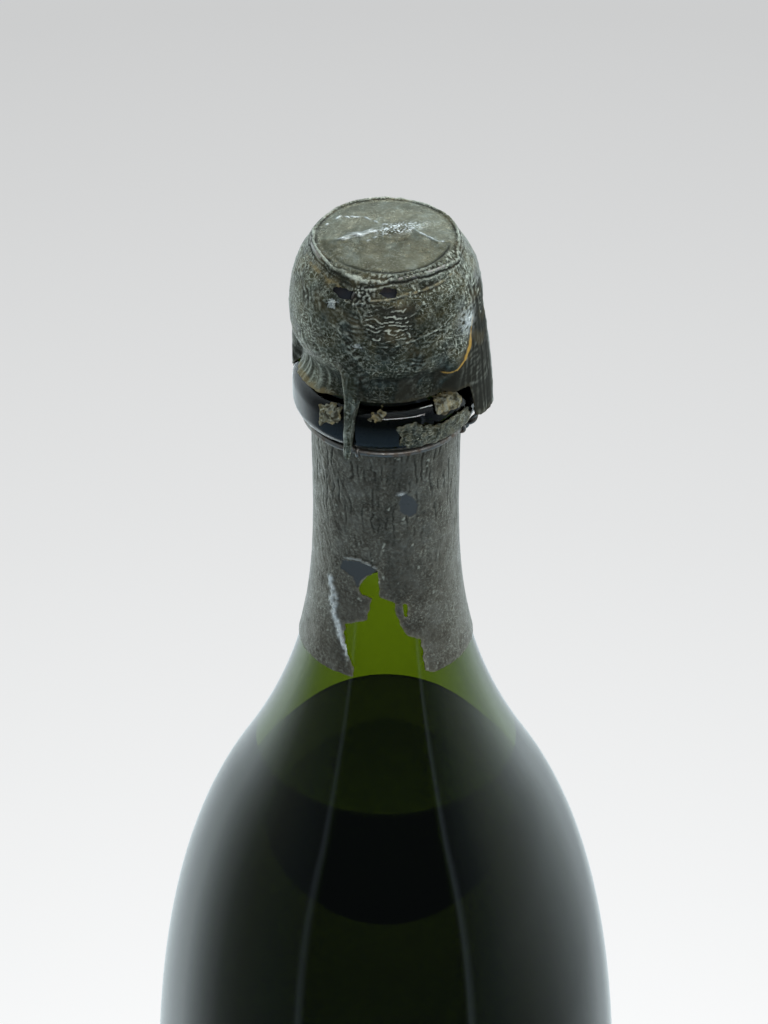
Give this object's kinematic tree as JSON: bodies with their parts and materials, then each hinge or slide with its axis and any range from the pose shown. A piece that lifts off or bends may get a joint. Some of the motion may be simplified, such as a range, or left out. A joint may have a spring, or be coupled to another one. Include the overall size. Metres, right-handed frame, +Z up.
{
  "type": "champagne bottle",
  "caption": "Corked green glass wine bottle with sloping shoulders, wire cage over the cork, and old torn foil round the cap and neck.",
  "frame": {"origin": "middle of the base, on the surface that the bottle stands on", "axes": "+Z up along the bottle's axis, -Y towards the front where the neck foil is torn open, +X to its right"},
  "size_m": [0.0884, 0.0884, 0.3201],
  "materials": {
    "green_glass": "clear green bottle glass, dark where it is thick",
    "wine": "dark clear liquid",
    "cork": "pressed cork granules",
    "fine_cork": "natural cork with lenticels, stained by wine at the foot",
    "plaque_metal": "dull pressed steel",
    "wire": "dull zinc-coated wire with rust spots",
    "foil": "aged crumpled taupe-grey metal foil with pale worn creases"
  },
  "bodies": {
    "bottle": {"glass_bottle": "green_glass", "wine": "wine", "foil_neck_sleeve": "foil", "foil_collar_scrap_left": "foil", "foil_collar_scrap_middle": "foil", "foil_collar_scrap_right": "foil", "foil_collar_scrap_lower": "foil"},
    "cork": {"cork_body": "cork", "cork_disc_upper": "fine_cork", "cork_disc_lower": "fine_cork"},
    "cage": {"plaque": "plaque_metal", "muselet_top_ring": "wire", "muselet_leg_front": "wire", "muselet_leg_right": "wire", "muselet_leg_back": "wire", "muselet_leg_left": "wire", "muselet_belt": "wire", "foil_cap": "foil"},
    "eyelet": {"muselet_eyelet": "wire"}
  },
  "joints": [
    {"name": "cork_pull", "type": "slide", "parent": "bottle", "child": "cork", "axis": [0, 0, 1], "range_m": [0, 0.045], "deforming": ["muselet_belt"]},
    {"name": "cage_lift", "type": "slide", "parent": "cork", "child": "cage", "axis": [0, 0, 1], "range_m": [0, 0.045], "deforming": ["muselet_belt", "foil_cap"]},
    {"name": "eyelet_fold", "type": "hinge", "parent": "cage", "child": "eyelet", "pos_m": [-0.00683, 0.01649, 0.287], "axis": [-0.9239, -0.3827, 0], "range_deg": [0, 90]}
  ]
}
